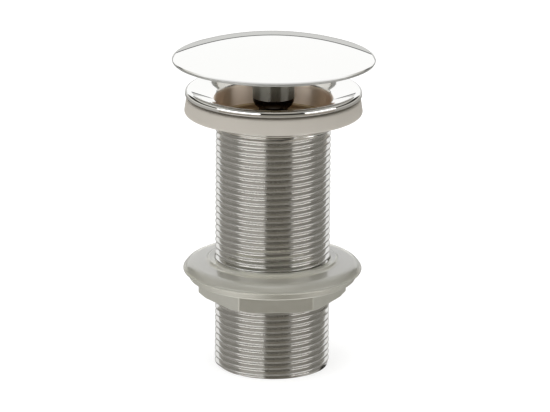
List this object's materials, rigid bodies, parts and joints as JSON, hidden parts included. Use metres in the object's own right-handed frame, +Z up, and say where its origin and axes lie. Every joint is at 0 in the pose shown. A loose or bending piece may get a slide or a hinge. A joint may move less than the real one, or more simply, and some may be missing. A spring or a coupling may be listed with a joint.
{
  "type": "basin waste",
  "caption": "Free-flow basin waste with a domed cap on a pillar over a dished flange, a threaded tail, rubber gasket, tapered washer and flanged back nut.",
  "frame": {"origin": "centre of the tail's lower end, on which the waste stands", "axes": "+Z up along the axis of the tail; -Y towards the front flat of the back nut"},
  "size_m": [0.0738, 0.0738, 0.1224],
  "materials": {
    "dome_chrome": "polished chrome plate on brass",
    "plain_brass": "turned brass",
    "pillar_chrome": "polished chrome plate on brass",
    "stainless": "rolled stainless thread",
    "body_chrome": "polished chrome plate on cast brass",
    "grey_rubber": "matte moulded rubber",
    "clear_polythene": "translucent moulded polythene",
    "satin_nickel": "satin nickel plate on brass"
  },
  "bodies": {
    "waste": {"waste_body": "body_chrome", "flange_gasket": "grey_rubber"},
    "washer": {"tapered_washer": "clear_polythene"},
    "nut": {"back_nut": "satin_nickel"},
    "pillar": {"cap_pillar": "pillar_chrome"},
    "cap": {"dome_cap": "dome_chrome", "cap_boss": "plain_brass", "cap_stud": "stainless"}
  },
  "joints": [
    {"name": "washer_slide", "type": "slide", "parent": "waste", "child": "washer", "axis": [0, 0, 1], "range_m": [-0.0256, 0.0465]},
    {"name": "nut_turn", "type": "hinge", "parent": "washer", "child": "nut", "pos_m": [0, 0, 0.0306], "axis": [0, 0, 1], "range_deg": [-3960, 7200]},
    {"name": "cap_lift", "type": "slide", "parent": "waste", "child": "pillar", "axis": [0, 0, 1], "range_m": [0, 0.0051]},
    {"name": "cap_turn", "type": "hinge", "parent": "pillar", "child": "cap", "pos_m": [0, 0, 0.1165], "axis": [0, 0, 1], "range_deg": [0, 1800]}
  ],
  "couplings": [
    {"joint": "washer_slide", "follows": "nut_turn", "m_per_rad": 0.00036751},
    {"joint": "cap_lift", "follows": "cap_turn", "m_per_rad": 0.00015915}
  ]
}
